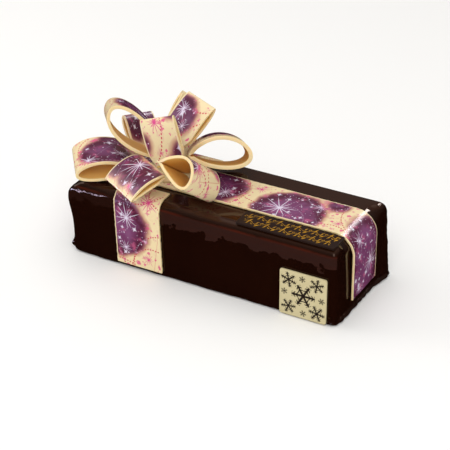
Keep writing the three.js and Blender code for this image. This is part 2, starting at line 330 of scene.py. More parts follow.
def publish(maker, name, materials, node=None):
    """Turns a bmesh into a piece that stands for its CAD node and rides on the root."""
    piece = meshed(maker, name, *materials)
    if node:
        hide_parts(node)
    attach(piece, "root")
    return piece


# ---- the glaze ----

def wave(a, b):
    """Low waves that a poured glaze leaves on a side."""
    return WAVE * (0.53 * sin(a / 15 + 1.3 * sin(b / 21)) + 0.47 * sin(b / 9 + a / 27))


def glaze_foot(z, along):
    """The glaze that swells a little where it reached the board."""
    low = 1 - share(z, 0, GLAZE_FOOT["height"])
    return low * low * (GLAZE_FOOT["depth"] + 0.7 * sin(along / 8) + 0.4 * sin(along / 3.7))


def right_foot(z, along):
    """The glaze that gathered in beads at the foot of the right end."""
    low = sqrt(1 - share(z, 0, RIGHT_FOOT["height"]))
    bead = abs(sin(along / 3.3 + 0.9 * sin(along / 7.1)))
    depth = RIGHT_FOOT["depth"] * smooth(share(HALF.y - abs(along), 0, 12))
    return low * (depth + RIGHT_FOOT["lump"] * bead)


def crumbs(y, z):
    """The coarse glaze over the crumb of the cut right end, strongest towards the back."""
    grain = sin(y / 1.7 + 2 * sin(z / 3.3)) * sin(z / 2.1 + 1.6 * sin(y / 4.3))
    return 0.28 * share(y, -30, 25) * grain


def press(p, axis, wall, bend, offset):
    """Where a ribbon bends over an edge, the glaze lies just inside the bend."""
    from_side = abs(wall) - bend
    from_z = TOP - bend
    side = p[axis] * sign(wall) - from_side
    z = p.z - from_z
    reach = hypot(side, z)
    if side <= 0 or z <= 0 or reach <= bend - GAP:
        return
    strength = 1 - share(abs(offset), PRESSED["full"], PRESSED["none"])
    scale = 1 + ((bend - GAP) / reach - 1) * strength
    p[axis] = sign(wall) * (from_side + side * scale)
    p.z = from_z + z * scale


def rounded_block(p):
    """A point of a block moved onto its rounded form, with the upright edges a little squarer."""
    near_left = smooth(share(-p.x, LEFT_TOP["from"], LEFT_TOP["to"]))
    rounder = (LEFT_TOP["edge"] - EDGE["top"]) * near_left
    edge = (
        EDGE["left"] if p.x < 0 else EDGE["right"],
        EDGE["front"] if p.y < 0 else EDGE["back"],
        EDGE["foot"] if p.z < 0 else EDGE["top"] + rounder,
    )
    inner = Vector(min(HALF[i] - edge[i], max(edge[i] - HALF[i], p[i])) for i in range(3))
    beyond = Vector((p[i] - inner[i]) / edge[i] for i in range(3))
    reach = sqrt(sqrt(beyond.x ** 4 + beyond.y ** 4) + beyond.z ** 2)
    if reach > 0:
        beyond /= reach
    return inner + Vector(beyond[i] * edge[i] for i in range(3))


def ribbon_bends():
    """The bends that press the glaze: axis, place of the wall, radius and the ribbon's middle."""
    low, high = frame_box("ribbon_long")
    # a short ribbon's foot leans to the right, so its top is at the left of its box
    front, back = (frame_box("ribbon_" + side)[0].x + WIDE / 2 for side in ("front", "back"))
    return (
        (0, low.x + THICKNESS, LONG_BEND, (low.y + high.y) / 2),
        (0, high.x - THICKNESS, LONG_BEND, (low.y + high.y) / 2),
        (1, -WALL, SHORT_BEND, front),
        (1, WALL, SHORT_BEND, back),
    )


def glaze_point(unit, bends):
    """A point of a cube, from -1 to 1 each way, moved onto the glazed cake."""
    p = rounded_block(Vector(HALF[i] * sin(unit[i] * pi / 2) for i in range(3)))
    p.z += HALF.z
    end = share(abs(p.x), HALF.x - END_REACH, HALF.x)
    side = share(abs(p.y), HALF.y - EDGE["front"], HALF.y)
    body = share(p.z, 0, GLAZE_FOOT["height"]) * share(CAKE.z - p.z, 0, EDGE["top"])
    if p.x < 0:
        swell = exp(-(((p.z - LEFT_END["height"]) / LEFT_END["spread"]) ** 2))
        p.x -= end * (LEFT_END["out"] * smooth(share(p.z, 0, 8)) + LEFT_END["bulge"] * swell)
    else:
        corner = smooth(share(p.y, RIGHT_END["corner_from"], HALF.y))
        lean = RIGHT_END["splay"] + corner * RIGHT_END["corner_splay"]
        p.x += end * (corner * RIGHT_END["corner_out"] + lean * (1 - p.z / CAKE.z))
    foot, grain = (glaze_foot, 0) if p.x < 0 else (right_foot, crumbs(p.y, p.z))
    p.x += sign(p.x) * end * (body * (wave(p.y, p.z) + grain) + foot(p.z, p.y))
    p.y += sign(p.y) * side * (body * wave(p.x, p.z) + glaze_foot(p.z, p.x))
    for place, reach, out in DRIPS:
        away = (p - Vector(place)).length / reach
        if away < 2.5:
            outward = Vector((sign(p.x) * end, sign(p.y) * side, 0)).normalized()
            p += outward * out * exp(-away * away)
    for axis, wall, bend, middle in bends:
        press(p, axis, wall, bend, p[1 - axis] - middle)
    return p


def glaze_material(colours, sizes):
    """Chocolate mirror glaze: cocoa, sugar and gelatine poured warm, so it sets glassy and wavy."""
    material, add = new_material("Chocolate mirror glaze")
    place = add("TexCoord").outputs["Object"]
    x, y, z = add("SeparateXYZ", place).outputs
    tone = add("Mix", "RGBA", add("TexNoise", place, 1 / (45 * MM), 4), "#140603", colours.glaze)

    # painted sheen: the level top is coloured a lighter brown for the light it mirrors
    level = add("MapRange", "SMOOTHSTEP", z, (CAKE.z - 4) * MM, (CAKE.z - 0.8) * MM)
    tone = add("Mix", "RGBA", level, tone, colours.glaze_top_sheen)

    # and a painted reflection in a band down to about 52 mm below the front edge, with a wavy lower
    # border
    border = add("TexNoise", place, 1 / (15 * MM), 3.5)
    border = add("Math", "MULTIPLY_ADD", border, 24 * MM, z)
    band = add("MapRange", border, 64 * MM, 64.7 * MM)
    below = add("MapRange", z, (CAKE.z - 6) * MM, (CAKE.z - 5) * MM, 1, 0)
    front = add("MapRange", y, -44 * MM, -46 * MM)
    along = add("MapRange", x, -70 * MM, -60 * MM, 0.3, 1)
    for mask in (below, front, along):
        band = add("Math", "MULTIPLY", band, mask)
    drawn = add("Mapping", place, Scale=(0.12, 1, 1))
    reflection_streak = add("MapRange", add("TexNoise", drawn, 1 / (4 * MM), 3), 0.4, 0.65)
    # the painted reflection's colour, streaked along the cake
    ran = add("Mix", "RGBA", reflection_streak, colours.glaze_band_reflection, "#321b16")
    tone = add("Mix", "RGBA", band, tone, ran)

    # a thin red line painted under the rounded edge as a painted highlight, in uneven stretches
    edge = add("Math", "ABSOLUTE", add("Math", "SUBTRACT", z, (CAKE.z - 5.4) * MM))
    edge = add("MapRange", "SMOOTHSTEP", edge, 0, 1.6 * MM, 0.75, 0)
    broken = add("MapRange", add("TexNoise", place, 1 / (26 * MM), 3), 0.38, 0.62, 0.1)
    for mask in (front, broken):
        edge = add("Math", "MULTIPLY", edge, mask)
    tone = add("Mix", "RGBA", edge, tone, "#4a1a0e")

    bump = relief(add, place, 24 * MM, 1, sizes.ripple)
    bump = relief(add, place, 5 * MM, 2, 0.03 * MM, bump)

    # it wrinkles a little where it ran over the round left end of the front edge
    left = add("MapRange", x, -78 * MM, -92 * MM)
    edge = add("MapRange", y, -40 * MM, -44 * MM)
    bump = relief(add, place, 4.5 * MM, 2, 0.3 * MM, bump, (edge, left))

    # the crumb of the cut right end shows through it, mostly towards the back
    cut = add("MapRange", "SMOOTHSTEP", x, (HALF.x - 7) * MM, (HALF.x - 1) * MM)
    back = add("MapRange", y, 12 * MM, 34 * MM)
    bump = relief(add, place, 2.2 * MM, 3, 0.35 * MM, bump, (back, cut))

    # and at its foot the glaze ran together in beads of about 3 mm
    beads = add("TexVoronoi", place, 1 / (3 * MM))
    beads = add("MapRange", "SMOOTHSTEP", beads, 0, 0.7, 1, 0)
    foot = add("MapRange", z, 11 * MM, 8 * MM)
    for mask in (foot, cut):
        beads = add("Math", "MULTIPLY", beads, mask)
    bump = add("Bump", Height=beads, Distance=0.8 * MM, Normal=bump)
    add("OutputMaterial", add(
        "BsdfPrincipled", Base_Color=tone, Normal=bump, Roughness=0.05, IOR=1.45,
        Specular_IOR_Level=0.4, Specular_Tint="#ffd9c4"))
    return material


class YULECAKE_OT_glaze(bpy.types.Operator):
    """Pours the dark glaze over the block of cake"""

    bl_idname = "yule_cake.glaze"
    bl_label = "Glazed Cake"

    def execute(self, context):
        scene = context.scene
        maker = bmesh.new()
        bmesh.ops.create_cube(maker, size=2)
        for axis, count in enumerate((129, 95, 75)):
            along = [e for e in maker.edges if abs(e.verts[0].co[axis] - e.verts[1].co[axis]) > 1.9]
            bmesh.ops.subdivide_edges(maker, edges=along, cuts=count, use_grid_fill=True)
        bends = ribbon_bends()
        for vertex in maker.verts:
            vertex.co = glaze_point(vertex.co, bends) * MM
        material = glaze_material(scene.yule_colours, scene.yule_sizes)
        publish(maker, "glaze", [material], "cake_body")
        return {"FINISHED"}


# ---- the print on the ribbons ----

def nearest_star(stars, u, v, length, width):
    """Which of a strip's large stars a spot belongs to, measured by each star's own reach."""
    return min(range(len(stars)), key=lambda i: hypot(
        (u - stars[i][0]) * length / stars[i][2], (v - stars[i][1]) * width / stars[i][2]))


def star_layer(add, inside):
    """Stars of thin rays of uneven length, and a glow round each. Every star has its own cell."""
    uv = add("UVMap", uv_map="star")
    cell = add("VectorMath", "MULTIPLY_ADD", uv, (1 / STAR_CELL, 1 / STAR_CELL, 0), (0.5, 0.5, 0))
    cell = add("VectorMath", "FLOOR", cell)
    spot = add("VectorMath", "MULTIPLY_ADD", cell, (-STAR_CELL, -STAR_CELL, 0), uv)
    radius = add("VectorMath", "LENGTH", spot)
    x, y, _ = add("SeparateXYZ", spot).outputs
    angle = add("Math", "ARCTAN2", y, x)
    luck = add("TexWhiteNoise", cell)
    turn = add("Math", "MULTIPLY_ADD", angle, STAR_RAYS / (2 * pi), luck)
    nearest = add("Math", "ROUND", turn)
    ray = add("Math", "FLOORED_MODULO", nearest, STAR_RAYS)
    own = add("VectorMath", "ADD", cell, add("CombineXYZ", None, None, ray))
    odd = add("SeparateColor", add("TexWhiteNoise", own).outputs["Color"]).outputs

    # how far a spot lies beside its nearest ray, which stands a little out of turn
    away = add("Math", "SUBTRACT", turn, nearest)
    away = add("Math", "MULTIPLY_ADD", odd[0], 0.5, away)
    for operation, other in (
            ("SUBTRACT", 0.25), ("MULTIPLY", 2 * pi / STAR_RAYS), ("SINE", None),
            ("MULTIPLY", radius), ("ABSOLUTE", None)):
        away = add("Math", operation, away, other)

    # a ray narrows to its tip and is bolder beside a cloud than on it
    length = add("MapRange", odd[1], 0, 1, 0.45, 1)
    taper = add("MapRange", radius, 0, length, 1, 0)
    width = add("Math", "MULTIPLY_ADD", taper, 0.01, 0.017)
    width = add("Math", "MULTIPLY", width, add("MapRange", inside, 0, 1, 1.35, 1))
    line = add("MapRange", add("Math", "DIVIDE", away, width), 0.45, 1, 1, 0)
    line = add("Math", "MULTIPLY", line, add("MapRange", taper, 0, 0.3))
    core = add("MapRange", "SMOOTHSTEP", radius, 0.015, 0.055, 1, 0)
    glow = add("MapRange", "SMOOTHSTEP", radius, 0, 0.45, 0.35, 0)
    return add("Math", "MAXIMUM", line, core), glow


def scattered(add, place, spacing, shift):
    """Scattered points: how far the nearest one lies, the way to it, and its own random colour."""
    moved = add("VectorMath", "ADD", place, shift)
    cells = add("TexVoronoi", moved, 1 / spacing, Randomness=0.85, voronoi_dimensions="2D")
    offset = add("VectorMath", "SUBTRACT", moved, cells.outputs["Position"])
    return add("VectorMath", "LENGTH", offset), offset, cells.outputs["Color"]


def spots(add, keep, luck, form, reach, solid):
    """Shapes with soft edges, from a form that grows outwards; only the share keep is printed.
    luck is a random number for that and one for their size within reach."""
    size = add("MapRange", luck[1], 0, 1, *reach)
    inner = add("Math", "MULTIPLY", size, solid)
    shape = add("MapRange", form, inner, size, 1, 0)
    return add("Math", "MULTIPLY", shape, add("Math", "LESS_THAN", luck[0], keep))


def sparkle_layer(add, place, spacing, reach, keep, shift):
    """Small four-pointed sparkles, each turned its own way."""
    _, offset, chance = scattered(add, place, spacing, shift)
    luck = add("SeparateColor", chance).outputs
    turn = add("Math", "MULTIPLY", luck[1], pi)
    turned = add("VectorRotate", offset, Angle=turn, rotation_type="Z_AXIS")
    folded = add("SeparateXYZ", add("VectorMath", "ABSOLUTE", turned)).outputs
    form = add("Math", "ADD", *(add("Math", "POWER", side, POINTED) for side in folded[:2]))
    form = add("Math", "POWER", form, 1 / POINTED)
    return spots(add, keep, (luck[0], luck[2]), form, (0.5 * reach, reach), 0.45)


def dot_layer(add, place, spacing, radius, keep, shift):
    """Small round dots."""
    away, _, chance = scattered(add, place, spacing, shift)
    luck = add("SeparateColor", chance).outputs
    return spots(add, keep, luck, away, (0.55 * radius, radius), 0.7)


def arc_layer(add, place, spacing, radius, pitch, shift):
    """Wide dotted rings, and one thin straight line through the middle of each."""
    away, offset, chance = scattered(add, place, spacing, shift)
    x, y, _ = add("SeparateXYZ", offset).outputs
    bead = add("Math", "ARCTAN2", y, x)
    for operation, other in (
            ("MULTIPLY", round(2 * pi * radius / pitch) / 2), ("SINE", None), ("ABSOLUTE", None)):
        bead = add("Math", operation, bead, other)
    bead = add("MapRange", bead, 0.5, 0.8)
    ring = add("Math", "ABSOLUTE", add("Math", "SUBTRACT", away, radius))
    ring = add("MapRange", ring, 0.35 * MM, 0.7 * MM, 1, 0)
    dotted = add("Math", "MULTIPLY", ring, bead)
    tilt = add("VectorMath", "MULTIPLY_ADD", chance, (1, 1, 0), (-0.5, -0.5, 0))
    tilt = add("VectorMath", "NORMALIZE", tilt)
    across = add("Math", "ABSOLUTE", add("VectorMath", "DOT_PRODUCT", offset, tilt))
    return dotted, add("MapRange", across, 0.08 * MM, 0.3 * MM, 0.6, 0)


def printed(add, base, mask, ink, *layers):
    """The print with more layers on it, each as strong as the mask allows."""
    for layer in layers:
        base = add("Mix", "RGBA", add("Math", "MULTIPLY", layer, mask), base, ink)
    return base


def print_material(colours, sizes):
    """White chocolate set on a sheet printed in cocoa butter: glossy, the print in its surface."""
    material, add = new_material("Printed white chocolate")
    place = add("UVMap", uv_map="print")
    ink = add("Attribute", attribute_name="ink").outputs["Fac"]
    rim = add("Attribute", attribute_name="rim").outputs["Fac"]

    # airbrushed clouds: the depth inside a cloud, with an edge that wanders by about 2 mm
    fray = add("TexNoise", place, 1 / (16 * MM), 2.5)
    fray = add("Math", "MULTIPLY_ADD", fray, 9 * MM, -4.5 * MM)
    depth = add("Math", "ADD", ink, fray)
    tones = (
        (-4.5, colours.ivory), (-2, "#d5a98a"), (-0.2, "#9c6264"),
        (1.8, "#6b2c43"), (3.8, colours.plum), (8, "#5f2643"),
        (13, colours.purple), (24, "#7b416b"))
    low, high = tones[0][0], tones[-1][0]
    base = add("ValToRGB", add("MapRange", depth, low * MM, high * MM), stops=[
        ((distance - low) / (high - low), tone) for distance, tone in tones])
    inside = add("MapRange", depth, -1.5 * MM, 1.5 * MM)
    haze = add("MapRange", add("TexNoise", place, 1 / (13 * MM), 5), 0.48, 0.75, 0, 0.5)
    base = printed(add, base, inside, "#97608f", haze)
    blush = add("MapRange", add("TexNoise", place, 1 / (7 * MM), 3), 0.57, 0.7, 0, 0.6)
    near = add("MapRange", depth, -15 * MM, -2 * MM)
    base = printed(add, base, near, "#d0618c", blush)

    # lines and stars are white on a cloud and pink beside it
    bright = add("Mix", "RGBA", inside, colours.pink, "#e3d8ea")
    soft = add("Mix", "RGBA", inside, "#cf4257", "#d9bedb")
    glowing = add("Mix", "RGBA", inside, "#ecb0a8", "#b06aa6")
    faint = add("MapRange", inside, 0, 1, 1, 0.3)
    for spacing, radius, shift in (
            (52 * MM, 21 * MM, (0.013, 0.021, 0)), (66 * MM, 30 * MM, (0.09, 0.057, 0))):
        layers = arc_layer(add, place, spacing, radius, 2.5 * MM, shift)
        base = printed(add, base, faint, soft, *layers)

    # pink splashes beside the clouds, ruffled at their edges
    ruffle = add("TexNoise", place, 1 / (2.5 * MM), 2).outputs["Color"]
    ruffle = add("VectorMath", "MULTIPLY_ADD", ruffle, (4 * MM, 4 * MM, 0), place)
    bare = add("MapRange", inside, 0, 1, 0.85, 0.15)
    base = printed(
        add, base, bare, "#e2548a",
        dot_layer(add, ruffle, 12 * MM, 2.2 * MM, 0.6, (0.21, 0.13, 0)),
        dot_layer(add, ruffle, 6.5 * MM, 0.9 * MM, 0.5, (0.17, 0.31, 0)))
    star, glow = star_layer(add, inside)
    base = add("Mix", "RGBA", glow, base, glowing)
    base = add("Mix", "RGBA", star, base, bright)
    plenty = add("MapRange", inside, 0, 1, 0.6, 1)
    base = printed(
        add, base, plenty, bright,
        sparkle_layer(add, place, 11 * MM, 4.6 * MM, 0.65, (0.11, 0.02, 0)),
        dot_layer(add, place, 8 * MM, 0.8 * MM, 0.55, (0.05, 0.083, 0)),
        dot_layer(add, place, 4.5 * MM, 0.35 * MM, 0.4, (0.03, 0.17, 0)))

    # the print stops short of the cut edges
    plain = add("MapRange", rim, 0.7 * sizes.border, 1.2 * sizes.border, 1, 0)
    base = add("Mix", "RGBA", plain, base, "#f1ddb0")
    bump = relief(add, place, 11 * MM, 2, 0.08 * MM)
    add("OutputMaterial", add(
        "BsdfPrincipled", Base_Color=base, Normal=bump, Roughness=0.24, IOR=1.46))
    return material


def plain_chocolate(colours):
    """White chocolate spread with a knife: satin, butter yellow made deeper as painted shade for
    the warm shadow inside the loops, a little deeper still where thicker.
    """
    material, add = new_material("Plain white chocolate")
    place = add("TexCoord").outputs["Object"]
    patch = add("TexNoise", place, 1 / (16 * MM), 4)
    # the deep butter yellow is partly the chocolate's own and partly painted shade for the warm
    # shadow inside the loops
    tone = add("Mix", "RGBA", patch, colours.ivory_inside_and_shade, "#ebc277")
    rim = add("Attribute", attribute_name="rim").outputs["Fac"]
    cut = add("MapRange", rim, 0.2 * MM, 1.4 * MM, 1, 0)
    tone = add("Mix", "RGBA", cut, tone, "#efd5a0")
    bump = relief(add, place, 3 * MM, 3, 0.08 * MM)
    add("OutputMaterial", add(
        "BsdfPrincipled", Base_Color=tone, Normal=bump, Roughness=0.42, IOR=1.45,
        Subsurface_Weight=0.2, Subsurface_Radius=(1, 0.55, 0.2), Subsurface_Scale=2 * MM))
    return material


def chocolate_pair(context):
    """The printed and the plain chocolate, made once and shared by every strip."""
    found = [bpy.data.materials.get(side + " white chocolate") for side in ("Printed", "Plain")]
    if all(found):
        return found
    colours, sizes = context.scene.yule_colours, context.scene.yule_sizes
    return [print_material(colours, sizes), plain_chocolate(colours)]


# ---- ribbons and loops ----

def ragged(u, v, length, width):
    """A hand-cut edge wanders by a fifth of a millimetre; the middle of the strip stays put."""
    along = u * length
    wander = 0.12 * sin(along / 1.3 + 4 * v) + 0.1 * sin(along / 0.7 + 2 * sin(along / 5) + 9 * v)
    return v + wander / width * abs(2 * v - 1) ** 8


def strip(name, length, width, columns, place, closed=False, thin=None):
    """A printed strip: a grid bent by place(u, v), with its print, cut edges and thickness."""
    maker = bmesh.new()
    bmesh.ops.create_grid(maker, x_segments=columns, y_segments=STRIP_ROWS, size=0.5)
    sheet = maker.loops.layers.uv.new("print")
    stars = maker.loops.layers.uv.new("star")
    ink = maker.verts.layers.float.new("ink")
    rim = maker.verts.layers.float.new("rim")
    wall = maker.verts.layers.deform.verify()
    where = {}
    order = sorted(CLOUDS).index(name)
    outermost = RIM_ROW / width
    narrowing = (1 - 2 * outermost) / (1 - 2 / STRIP_ROWS)
    for vertex in maker.verts:
        u, v = vertex.co.x + 0.5, vertex.co.y + 0.5
        if 0.001 < v < 0.999:
            v = outermost + (v - 1 / STRIP_ROWS) * narrowing
        where[vertex] = (u, v)
        vertex[rim] = min(v, 1 - v) * width * MM
        vertex[ink] = MM * max(
            radius - hypot((u - cu) * length, (v - cv) * width) for cu, cv, radius in CLOUDS[name])
        vertex[wall][0] = thin(u) if thin else 1.0
    for face in maker.faces:
        middle = face.calc_center_median()
        index = nearest_star(STARS[name], middle.x + 0.5, middle.y + 0.5, length, width)
        su, sv, reach = STARS[name][index]
        for corner in face.loops:
            u, v = where[corner.vert]
            corner[sheet].uv = (
                (u * length + PRINT_STEP[0] * order) * MM, (v * width + PRINT_STEP[1] * order) * MM)
            spot = [min(STAR_LIMIT, max(-STAR_LIMIT, value)) for value in (
                (u - su) * length / reach, (v - sv) * width / reach)]
            corner[stars].uv = (spot[0] + STAR_CELL * index, spot[1] + STAR_CELL * order)
    for vertex, (u, v) in where.items():
        vertex.co = place(u, v if closed else ragged(u, v, length, width)) * MM
    if closed:
        bmesh.ops.remove_doubles(maker, verts=maker.verts, dist=0.01 * MM)
    return maker


def publish_strip(context, maker, prefix, node, thickness):
    """Publishes a bent sheet with its thickness, towards its plain side, and rounded cut edges."""
    piece = publish(maker, prefix + node, chocolate_pair(context), node)
    piece.vertex_groups.new(name="wall")
    wall = piece.modifiers.new("thickness", "SOLIDIFY")
    wall.thickness = thickness * MM
    wall.offset = -1
    wall.vertex_group = "wall"
    wall.thickness_vertex_group = 0
    wall.material_offset = wall.material_offset_rim = 1
    rounding = piece.modifiers.new("rounding", "BEVEL")
    rounding.width = context.scene.yule_sizes.rim
    rounding.segments = 2
    rounding.limit_method = "ANGLE"
    rounding.angle_limit = radians(50)


def bent_path(distance, legs, radius, heading):
    """How far along and up a strip's line has run: straight legs, with quarter bends between."""
    x, z = 0.0, 0.0
    for index, leg in enumerate(legs):
        run = min(distance, leg)
        x += run * cos(heading)
        z += run * sin(heading)
        distance -= run
        if distance <= 1e-9 or index == len(legs) - 1:
            break
        turn = min(distance, radius * pi / 2) / radius
        x += radius * (sin(heading) - sin(heading - turn))
        z += radius * (cos(heading - turn) - cos(heading))
        heading -= turn
        distance -= turn * radius
    return x, z


def long_ribbon():
    """The strip along the top, bent down over both ends; its left foot ends a little higher."""
    low, high = frame_box("ribbon_long")
    radius = LONG_BEND + THICKNESS
    left_foot = low.z + LEFT_FOOT
    legs = (high.z - radius - left_foot, high.x - low.x - 2 * radius, high.z - radius - low.z)
    length = sum(legs) + pi * radius

    def place(u, v):
        x, z = bent_path(u * length, legs, radius, pi / 2)
        lift = 0.25 * sin(u * 19 + 2 * v) * sin(u * pi) ** 2
        return Vector((low.x + x, low.y + v * WIDE, left_foot + z + abs(lift)))

    return strip("ribbon_long", length, WIDE, 260, place)


def short_ribbon(name, facing):
    """A strip from the bow over a long side: facing is -1 at the front and 1 at the back."""
    low, high = frame_box(name)
    radius = SHORT_BEND + THICKNESS
    start, out = sorted((abs(low.y), abs(high.y)))
    legs = (out - start - radius, high.z - radius - low.z)
    length = sum(legs) + radius * pi / 2
    lean = high.x - low.x - WIDE

    def place(u, v):
        y, z = bent_path(u * length, legs, radius, 0)
        middle = low.x + WIDE / 2 - lean * z / (high.z - low.z)
        return Vector((middle - facing * (v - 0.5) * WIDE, facing * (start + y), high.z + z))

    return strip(name, length, WIDE, 100, place)


def loop_axes(angles):
    """The ways along a loop, across its width and up from its line."""
    heading, rise, roll = (radians(a) for a in angles)
    along = Vector((cos(rise) * cos(heading), cos(rise) * sin(heading), sin(rise)))
    level = Vector((-sin(heading), cos(heading), 0))
    across = level * cos(roll) + along.cross(level) * sin(roll)
    return along, across, across.cross(along)


def bow_loop(name, steps):
    """One teardrop loop: a strip that leaves its pinch, swells, turns and comes back to it."""
    pinch, angles, length, over, under, full, lift, width, neck, wall = LOOPS[name]
    along, across, up = loop_axes(angles)
    bulge = [sin(2 * pi * i / steps) * abs(sin(pi * i / steps)) ** full for i in range(steps + 1)]
    most = max(bulge)

    def outline(u):
        index = round(u * steps)
        s = (1 - cos(2 * pi * u)) / 2
        t = bulge[index] / most * (over if bulge[index] > 0 else under)
        return s, s * length, t + lift * s * s

    line = [outline(i / steps) for i in range(steps + 1)]
    girth = sum(hypot(b[1] - a[1], b[2] - a[2]) for a, b in zip(line, line[1:]))

    def place(u, v):
        _, x, y = outline(u)
        widen = smooth(share(x, 0, NECK_SHARE * length))
        spread = width * (neck + (1 - neck) * widen)
        return Vector(pinch) + along * x + up * y + across * (0.5 - v) * spread

    def thin(u):
        s, _, top = outline(u)
        opening = top - outline(1 - u)[2]
        return 1.0 if s > 0.5 else min(1.0, max(0.45, abs(opening) / 2 / wall))

    return strip(name, girth, width, steps, place, closed=True, thin=thin)


class YULECAKE_OT_ribbons(bpy.types.Operator):
    """Lays the three printed ribbons over the glaze"""

    bl_idname = "yule_cake.ribbons"
    bl_label = "Printed Ribbons"

    def execute(self, context):
        makers = {
            "ribbon_long": long_ribbon(),
            "ribbon_front": short_ribbon("ribbon_front", -1),
            "ribbon_back": short_ribbon("ribbon_back", 1),
        }
        for node, maker in makers.items():
            publish_strip(context, maker, "printed_", node, THICKNESS)
        return {"FINISHED"}


class YULECAKE_OT_bow(bpy.types.Operator):
    """Builds the bow's loops from printed chocolate strips"""

    bl_idname = "yule_cake.bow"
    bl_label = "Bow Loops"

    def execute(self, context):
        for node in LOOPS:
            maker = bow_loop(node, context.scene.yule_sizes.steps)
            publish_strip(context, maker, "bow_", node, LOOPS[node][-1])
        return {"FINISHED"}


class YULECAKE_OT_knot(bpy.types.Operator):
    """Heaps the chocolate that holds the loops"""

    bl_idname = "yule_cake.knot"
    bl_label = "Bow Knot"

    def execute(self, context):
        low, high = frame_box("bow_knot")
        middle = (low + high) / 2
        half = (high - low) / 2
        maker = bmesh.new()
        bmesh.ops.create_icosphere(maker, subdivisions=5, radius=1)
        for vertex in maker.verts:
            x, y, z = vertex.co
            out = min(1.0, hypot(x, y))
            lump = 0.5 * sin(7 * x + 2) * sin(6 * y + 1) * (1 - out)
            height = KNOT_EDGE + (2 * half.z - KNOT_EDGE) * (1 - out * out) + lump if z > 0 else 0
            vertex.co = Vector((middle.x + x * half.x, middle.y + y * half.y, low.z + height)) * MM
        publish(maker, "knot", chocolate_pair(context)[1:], "bow_knot")
        return {"FINISHED"}


# ---- the plaques ----

def plate(node, thin_axis, corner):
    """A thin chocolate plate that fills its node's box, with round corners and softened edges."""
    low, high = frame_box(node)
    maker = bmesh.new()
    bmesh.ops.create_cube(maker, size=1)
    for vertex in maker.verts:
        vertex.co = Vector(low[i] if vertex.co[i] < 0 else high[i] for i in range(3)) * MM
    upright = [e for e in maker.edges
               if abs(e.verts[0].co[thin_axis] - e.verts[1].co[thin_axis]) > 0.5 * MM]
    bevel = partial(bmesh.ops.bevel, maker, profile=0.5, affect="EDGES", material=-1)
    bevel(geom=upright, offset=corner * MM, segments=6)
    faces = [f for f in maker.faces if abs(f.normal[thin_axis]) > 0.9]
    border = [e for f in faces for e in f.edges]
    bevel(geom=border, offset=PLAQUE_EDGE * MM, segments=3)
    faces = [f for f in maker.faces if abs(f.normal[thin_axis]) > 0.999 and len(f.verts) > 8]
    bmesh.ops.inset_individual(maker, faces=faces, thickness=PLAQUE_RIM * MM, use_even_offset=True)
    return maker


def stroke(maker, path, width, low, high):
    """A brushed stroke along path(t): a thin strip, widest in its middle, proud of the plate."""
    steps = 22
    grid = bmesh.ops.create_grid(maker, x_segments=steps, y_segments=2, size=0.5)
    points = [Vector(path(i / steps)) for i in range(steps + 1)]
    middle = (low + high) / 2
    for vertex in grid["verts"]:
        t = vertex.co.x + 0.5
        index = round(t * steps)
        ahead = points[min(steps, index + 1)] - points[max(0, index - 1)]
        side = Vector((-ahead.y, ahead.x)).normalized() * vertex.co.y
        spot = points[index] + side * width * (0.3 + 0.7 * sin(pi * t))
        rise = GOLD_RISE * (1 - abs(2 * vertex.co.y))
        vertex.co = MM * Vector((
            middle.x + spot.x, middle.y + spot.y, high.z + GOLD_RISE / 2 + rise))


def curl(x, y, size, start, turns):
    """A curl that winds in from its outer end."""
    def path(t):
        reach = size * (1 - 0.75 * t)
        angle = start + turns * 2 * pi * t
        return x + reach * cos(angle), y + reach * sin(angle)
    return path


def leaf(x, y, height, lean, bow):
    """A long slanted leaf with a slight S to it."""
    def path(t):
        rise = (t - 0.5) * height
        return x + lean * rise + bow * sin(2 * pi * t), y + rise
    return path


def vine(x, y, length, rise):
    """One arch of a waving vine."""
    def path(t):
        return x + t * length, y + rise * sin(pi * t)
    return path


def ornament(maker, low, high):
    """Two waving vines along the plate, with slanted leaves, tendrils and berries, no two alike."""
    half = (high.x - low.x) / 2 - GOLD_MARGIN
    for row, y in enumerate((4.6, -4.6)):
        x = -half + 2.5 * row
        count = 0
        while x < half - 4:
            luck = sin(12.9 * count + 7.7 * row + 1)
            hand = 1 if (count + row) % 2 else -1
            length = min(7.5 + luck, half - x)
            crest = x + 0.5 * length
            strokes = (
                (vine(x, y, length, 1.9 * hand), 0.6),
                (leaf(crest + 0.6, y + 2.9 * hand, 3.7 + 0.5 * luck, 0.6, 0.2 * hand), 1.1),
                (leaf(crest - 0.4, y - 1.1 * hand, 3.9 - 0.6 * luck, 0.6, 0.3), 0.95),
                (curl(x + 0.95 * length, y - 1.6 * hand, 1.3, 1.6 * hand, 0.7 * hand), 0.5),
                (leaf(x + 0.1, y + 2.3 * hand, 0.9, 0.5, 0), 1),
            )
            for path, width in strokes:
                stroke(maker, path, width, low, high)
            x += length
            count += 1


def gold_material(colours):
    """Gold lustre powder brushed through a stencil: half metallic, worn where the brush ran dry."""
    material, add = new_material("Gold lustre powder")
    place = add("TexCoord").outputs["Object"]
    worn = add("MapRange", add("TexNoise", place, 1 / (3 * MM), 3), 0.55, 0.72)
    tone = add("Mix", "RGBA", worn, colours.gold, "#6b4a12")
    bump = relief(add, place, 0.6 * MM, 1, 0.03 * MM)
    add("OutputMaterial", add(
        "BsdfPrincipled", Base_Color=tone, Normal=bump, Roughness=0.42, Metallic=0.3))
    return material


